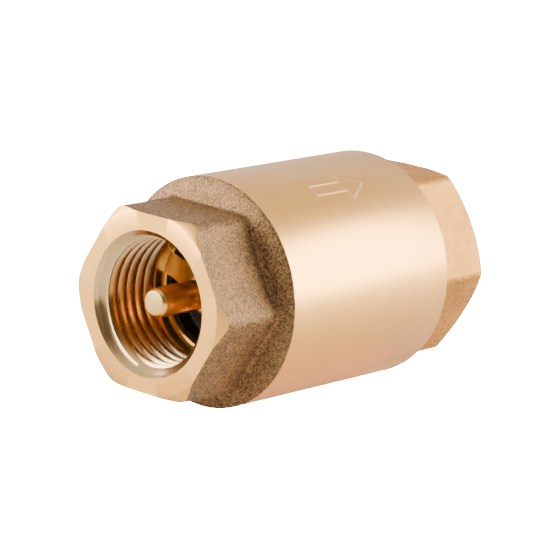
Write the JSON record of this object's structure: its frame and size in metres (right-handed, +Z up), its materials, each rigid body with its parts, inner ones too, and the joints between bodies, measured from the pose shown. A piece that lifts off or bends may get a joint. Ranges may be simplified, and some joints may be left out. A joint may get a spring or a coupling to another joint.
{
  "type": "check valve",
  "caption": "In-line spring check valve: round brass barrel between two hexagonal ends with female pipe-threaded sockets, and a spring-loaded disc on a stem that shows in the inlet.",
  "frame": {"origin": "on the flow axis, midway between the two end faces", "axes": "+X along the flow, from the inlet to the outlet; +Z up, square to one wrench flat of each hexagon, with the valve lying on its barrel"},
  "size_m": [0.059, 0.0346, 0.0344],
  "materials": {
    "cast_brass": "blasted casting with a satin turned barrel",
    "turned_brass": "turned",
    "stainless_steel": "drawn wire and pressed sheet",
    "black_nylon": "moulded, matte",
    "black_rubber": "moulded nitrile rubber",
    "red_fibre": "pressed vulcanised fibre"
  },
  "bodies": {
    "valve": {"valve_body": "cast_brass", "end_cap": "cast_brass", "inlet_guide": "turned_brass", "outlet_guide": "turned_brass", "cap_gasket": "red_fibre", "spring_seat": "stainless_steel", "spring": "stainless_steel"},
    "poppet": {"stem": "turned_brass", "seal_retainer": "black_nylon", "disc_seal": "black_rubber", "disc_carrier": "black_nylon", "retaining_clip": "stainless_steel"}
  },
  "joints": [
    {"name": "poppet_lift", "type": "slide", "parent": "valve", "child": "poppet", "axis": [1, 0, 0], "range_m": [0, 0.005], "stiffness_N_per_m": 280, "springref_m": -0.0036, "deforming": ["spring"]}
  ]
}
